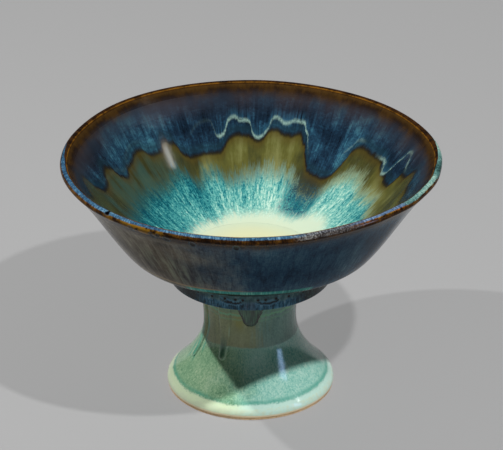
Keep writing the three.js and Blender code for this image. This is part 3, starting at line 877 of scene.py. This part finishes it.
# Runs: "inset" is how far a point is inside the run's outline, in millimetres
runLook = {
    "shine": {"Roughness": 0.08, "IOR": 1.6}, "bump": 0.06,
    "streaked": {"hair": (62, 0.12, 3), "tuft": (16, 0.08, 3)}, "spotted": {},
    # the front drip's dark rim along its outline is painted shade
    "dark": [(0.1, "16342a"), (0.5, "2c5644"), (0.9, "5c9070")], "rim": "13261f", "frontReach": (24, 20),
    # the runs at the left start in the stem's own colours and end in these, by height and by degrees
    "deep": [(0.1, "1c4a3a"), (0.5, "2c6a54"), (0.9, "5c9c78")], "ownColours": (52, 39),
    "green": [(0.1, "2f8068"), (0.5, "4fae8c"), (0.9, "9adcba")], "greenFrom": (-44, -62),
    "glint": "b4dcba",
}


def runPaint(place):
    look = runLook
    inset = add("ShaderNodeAttribute", attribute_name="inset").outputs["Fac"]
    hair, tuft = noises(place, place["height"], look)
    tone = sway(0.5, (hair, 1.4), (tuft, 1.2))
    front = ease(size(place["side"]), *look["frontReach"])
    # painted shade: a dark rim along the front drip's outline
    dark = blend(ease(inset, 2.6, 0.6), ramp(tone, look["dark"]), look["rim"])
    stem = stemPaint(place)[0]
    toSide = ease(place["side"], *look["greenFrom"])
    share = times(ease(sway(inset, (tuft, 3)), 0, 2.2), ease(place["height"], *look["ownColours"]))
    green = blend(toSide, ramp(tone, look["deep"]), ramp(tone, look["green"]))
    green = over(stem, green, share, scaled(toSide, 0.15, 0.8))
    green = over(green, look["glint"], near(inset, 0.7, 0.7), ease(tuft, 0.4, 0.6), 0.5)
    return blend(front, green, dark), hair


print("Materials")
clay = painted("bareClay", clayLook, clayPaint)

# Thrown clay
clayLine = chain([undersideMiddle, collarFoot, collarHead, bellyEdge], wall, lip, inside)
outerClay = offset(clayLine, -bowl["clayDepth"])
floorMiddle = at(0, bowl["floorHeight"])
floorHandles = (at(*bowl["floorSide"]), at(bowl["floorFlat"], bowl["floorHeight"]))
floorCurve = curve(outerClay[-1], *floorHandles, floorMiddle, 8)
under = outerClay[0].z / mm
recess = pedestal["stemTop"] - bowl["clayDepth"] - pedestal["wall"]
base = [at(0, under + bowl["recess"]), at(recess - bowl["recess"], under + bowl["recess"]), at(recess, under)]
standFor(turn("bowlClay", base + chain(outerClay, floorCurve)), "bowl_body", clay)

pedestalOuter = offset(chain(footEdge, flare, stem), -bowl["clayDepth"])
pedestalInner = offset(chain(flare, stem), -bowl["clayDepth"] - pedestal["wall"])
pedestalTop = under - clayGap
ringOuter = pedestal["foot"] - pedestal["bareInset"]      # bare clay, almost flush with the glaze above it
bevelIn, bevelUp = pedestal["ringBevel"]
pedestalLine = [at(ringOuter - pedestal["ring"] - pedestal["ringSlope"], 0), at(ringOuter - bevelIn, 0)]
pedestalLine += [at(ringOuter, bevelUp), at(ringOuter, pedestal["bareTop"])] + pedestalOuter
stemOuter = pedestalOuter[-1].x / mm
pedestalLine += [at(stemOuter, pedestalTop), at(stemOuter - pedestal["wall"], pedestalTop)]
pedestalLine += pedestalInner[::-1]
standFor(turn("pedestalClay", pedestalLine), "pedestal_body", clay)

coilCorner = at(pedestal["stemTop"] - bowl["clayDepth"], bowl["collarBottom"] + bowl["clayDepth"])
coilMiddle = coilCorner + at(pedestal["coil"], -pedestal["coil"])
coilStart, coilEnd = 180 - pedestal["coilDegrees"], 90 + pedestal["coilDegrees"]
coilLine = [coilCorner + at(clayGap, -clayGap)] + arc(coilMiddle, pedestal["coil"], coilStart, coilEnd, 8)
standFor(turn("jointCoil", coilLine), "luting_coil", clay)
print("Clay")

# Glazes. The one over the lip covers the last steps of the wall and the first of the inside. The roundings
# of the edges and the pool are in millimetres.
lipSteps = {"wall": 7, "inside": 4}
roundings = {"belly": 1.5, "collarHead": 1.8, "collarFoot": 1.2}
pool = {"gap": 0.3, "edge": (41.6, 97.0), "top": 41.9}

rimRun = chain(wall[-lipSteps["wall"] - 1:], lip, inside[:lipSteps["inside"] + 1])
wallRun = inside[lipSteps["inside"]:]
poolRun = [at(0, bowl["floorHeight"] + pool["gap"])] + offset(floorCurve, pool["gap"])[-2:0:-1]
poolRun += [at(*pool["edge"]), at(pool["top"], bowl["wellHeight"]), at(0, bowl["wellHeight"])]
outsideRun = soften(chain([undercutMiddle, bellyEdge], wall[:-lipSteps["wall"]]), 1, roundings["belly"])
collarRun = soften([undersideMiddle, collarFoot, collarHead, undercutMiddle], 2, roundings["collarHead"])
collarRun = soften(collarRun, 1, roundings["collarFoot"])
stemRun = chain(flare, stem, coilFillet, [coilFillet[-1], undersideMiddle])
glazes = [
    ("rimGlaze", skin(rimRun), "rim_glaze", "rim_glaze", "rimBreak", lipLook, lipPaint),
    ("insideGlaze", skin(wallRun), "inside_glaze", "inside_glaze", "insideFlow", insideLook, insidePaint),
    ("wellPool", poolRun, "well_glaze_pool", "pool_glaze", "poolCream", poolLook, poolPaint),
    ("outsideGlaze", skin(outsideRun), "outside_glaze", "outside_glaze",
     "outsideSlate", outsideLook, outsidePaint),
    ("collarGlaze", skin(collarRun), "collar_glaze", "collar_glaze", "collarBlue", collarLook, collarPaint),
    ("stemGlaze", skin(stemRun), "pedestal_glaze", "pedestal_glaze", "stemJade", stemLook, stemPaint),
    ("footRoll", skin(footEdge), "foot_glaze_roll", "foot_glaze", "footCream", footLook, footPaint),
]
for name, profile, node, slot, *recipe in glazes:
    standFor(turn(name, profile), node, painted(*recipe))
print("Glazes")

# Runs of thick glaze on the stem, in degrees from the front and millimetres
runs = {
    "frontDrip": {"node": "front_glaze_drip", "degrees": 0, "width": 21, "length": 18},
    "leftRun": {"node": "left_glaze_run", "degrees": -33, "width": 11, "length": 44},
    "sideRun": {"node": "side_glaze_run", "degrees": -74, "width": 9, "length": 51},
}
runShape = {
    "thickness": 1.2, "seat": 0.15, "shell": 0.6, "spanDegrees": 48, "across": 120,
    # half widths at the top, the middle and the tip, and how soon the edge rises, as shares of the width
    "halves": (0.5, 0.4, 0.25), "domeReach": 0.25, "belowCoil": 0.3,
    # outside its outline the run sinks into the glaze, and ends
    "sink": 0.7, "sinkReach": 0.5, "skirt": 1.2,
    "flareSteps": 110, "flareSkipped": 30, "stemSteps": 40,
}


def insideRun(run, across, height):      # millimetres inside the run's outline, negative outside
    atTop, atMiddle, atTip = (run["width"] * share for share in runShape["halves"])
    top = coilBottom - runShape["belowCoil"]
    tipHeight = top - run["length"] + atTip
    down = (top - height) / (top - tipHeight)
    if down > 1:
        return atTip - math.hypot(across, height - tipHeight)
    down = max(down, 0)
    return (1 - down) ** 2 * atTop + 2 * down * (1 - down) * atMiddle + down ** 2 * atTip - abs(across)


def glazeRun(name, run):
    shape = runShape
    bm = bmesh.new()
    thrown = bm.verts.layers.float_vector.new("thrown")
    inset = bm.verts.layers.float.new("inset")
    line = chain(flareLine(shape["flareSteps"])[shape["flareSkipped"]:], stemLine(shape["stemSteps"]))
    verts = [bm.verts.new(p) for p in line]
    edges = [bm.edges.new(pair) for pair in zip(verts, verts[1:])]
    span = math.radians(shape["spanDegrees"])
    front = -math.pi / 2 + math.radians(run["degrees"])
    bmesh.ops.rotate(bm, verts=verts, cent=(0, 0, 0), matrix=Matrix.Rotation(front - span / 2, 3, "Z"))
    bmesh.ops.spin(bm, geom=verts + edges, cent=(0, 0, 0), axis=(0, 0, 1), dvec=(0, 0, 0), angle=span,
                   steps=shape["across"])
    outside = []
    for vert in bm.verts:
        vert[thrown] = vert.co
        flat = Vector((vert.co.x, vert.co.y, 0))
        angle = math.atan2(vert.co.y, vert.co.x) - front
        depth = insideRun(run, angle * flat.length / mm, vert.co.z / mm)
        vert[inset] = depth
        if depth > 0:
            edge = 1 - min(depth / (run["width"] * shape["domeReach"]), 1)
            rise = shape["thickness"] * math.sqrt(1 - edge ** 2)
        else:
            rise = -shape["sink"] * min(-depth / shape["sinkReach"], 1)
        if depth < -shape["skirt"]:
            outside.append(vert)
        vert.co = handmade(vert.co) + flat.normalized() * (shape["seat"] + rise) * mm
    bmesh.ops.delete(bm, geom=outside, context="VERTS")
    bmesh.ops.recalc_face_normals(bm, faces=bm.faces)
    bmesh.ops.solidify(bm, geom=bm.faces, thickness=shape["shell"] * mm)
    return finishMesh(bm, name)


runGlaze = painted("runTeal", runLook, runPaint)
for name, run in runs.items():
    standFor(glazeRun(name, run), run["node"], runGlaze)
print("Runs")

# Room. A lamp's level is what it adds to a white surface that faces it.
room = {
    "floorSize": 6.0, "floorRoughness": 0.8, "floorGrey": 0.33, "floorSeen": 0.17, "floorGlow": 0.26,
    "worldGrey": 0.95, "worldStrength": 0.035, "aimHeight": 0.1,
}
lamps = {
    "keyRight": {"azimuth": 38.2, "elevation": 57.3, "distance": 1.6, "size": (0.04, 0.04), "level": 0.81},
    "keyLeft": {"azimuth": -95.2, "elevation": 50.4, "distance": 1.6, "size": (0.03, 0.03), "level": 0.66},
    "softBack": {"azimuth": 160, "elevation": 40, "distance": 1.8, "size": (1.0, 1.0), "level": 0.06},
    "window": {"azimuth": 65, "elevation": 17, "distance": 1.6, "size": (0.3, 1.0), "level": 0.2,
               "inGlaze": True, "inShade": False, "colour": (0.4, 0.6, 1.0)},
    "bar": {"azimuth": 87, "elevation": 45.5, "distance": 1.6, "size": (0.05, 0.24), "level": 0.022,
            "inGlaze": True, "inShade": False, "turn": -45},
}

# The camera and the glaze see the floor paler and its shadows softer
floorShine = {"Roughness": room["floorRoughness"], "Emission Color": (1, 1, 1, 1)}
floorMaterial = startMaterial("paleFloor", floorShine)
ray = add("ShaderNodeLightPath")
seen = calc("MAXIMUM", ray.outputs["Is Camera Ray"], ray.outputs["Is Glossy Ray"])
seen = calc("MAXIMUM", seen, ray.outputs["Is Transmission Ray"])
greys = [(room[key],) * 3 + (1,) for key in ("floorGrey", "floorSeen")]
link(blend(seen, *greys), board["shader"].inputs["Base Color"])
link(times(seen, room["floorGlow"]), board["shader"].inputs["Emission Strength"])
bm = bmesh.new()
bmesh.ops.create_grid(bm, x_segments=1, y_segments=1, size=room["floorSize"] / 2)
floor = finishMesh(bm, "floor")
floor.data.materials.append(floorMaterial)

world = bpy.data.worlds.new("studio")
world.use_nodes = True
background = world.node_tree.nodes["Background"]
background.inputs["Color"].default_value = (room["worldGrey"],) * 3 + (1,)
background.inputs["Strength"].default_value = room["worldStrength"]
bpy.context.scene.world = world

for name, lamp in lamps.items():
    light = bpy.data.lights.new(name, "AREA")
    light.shape = "RECTANGLE"
    light.size, light.size_y = lamp["size"]
    light.energy = lamp["level"] * math.pi ** 2 * lamp["distance"] ** 2
    light.color = lamp.get("colour", (1, 1, 1))
    holder = bpy.data.objects.new(name, light)
    around, up = math.radians(lamp["azimuth"]), math.radians(lamp["elevation"])
    toLamp = Vector((math.sin(around) * math.cos(up), -math.cos(around) * math.cos(up), math.sin(up)))
    holder.location = Vector((0, 0, room["aimHeight"])) + toLamp * lamp["distance"]
    turned = Matrix.Rotation(math.radians(lamp.get("turn", 0)), 4, "Z")
    holder.rotation_euler = (toLamp.to_track_quat("Z", "Y").to_matrix().to_4x4() @ turned).to_euler()
    holder.visible_glossy = lamp.get("inGlaze", False)
    holder.visible_diffuse = lamp.get("inShade", True)
    bpy.context.scene.collection.objects.link(holder)

# Camera, fitted to the rim, the foot and the outline
view = {"distance": 2.0, "elevation": 25.47, "pitch": 26.73, "lens": 218.56, "sensor": 36, "aside": 0.00065}
camera = bpy.data.cameras.new("camera")
camera.lens = view["lens"]
camera.sensor_width = view["sensor"]
cameraHolder = bpy.data.objects.new("camera", camera)
climb = math.radians(view["elevation"])
cameraHolder.location = (view["aside"], -view["distance"] * math.cos(climb),
                         bowl["height"] * mm + view["distance"] * math.sin(climb))
cameraHolder.rotation_euler = (math.radians(90 - view["pitch"]), 0, 0)
bpy.context.scene.collection.objects.link(cameraHolder)
bpy.context.scene.camera = cameraHolder
bpy.context.scene.view_settings.view_transform = "Standard"
print("Room, lamps and camera")
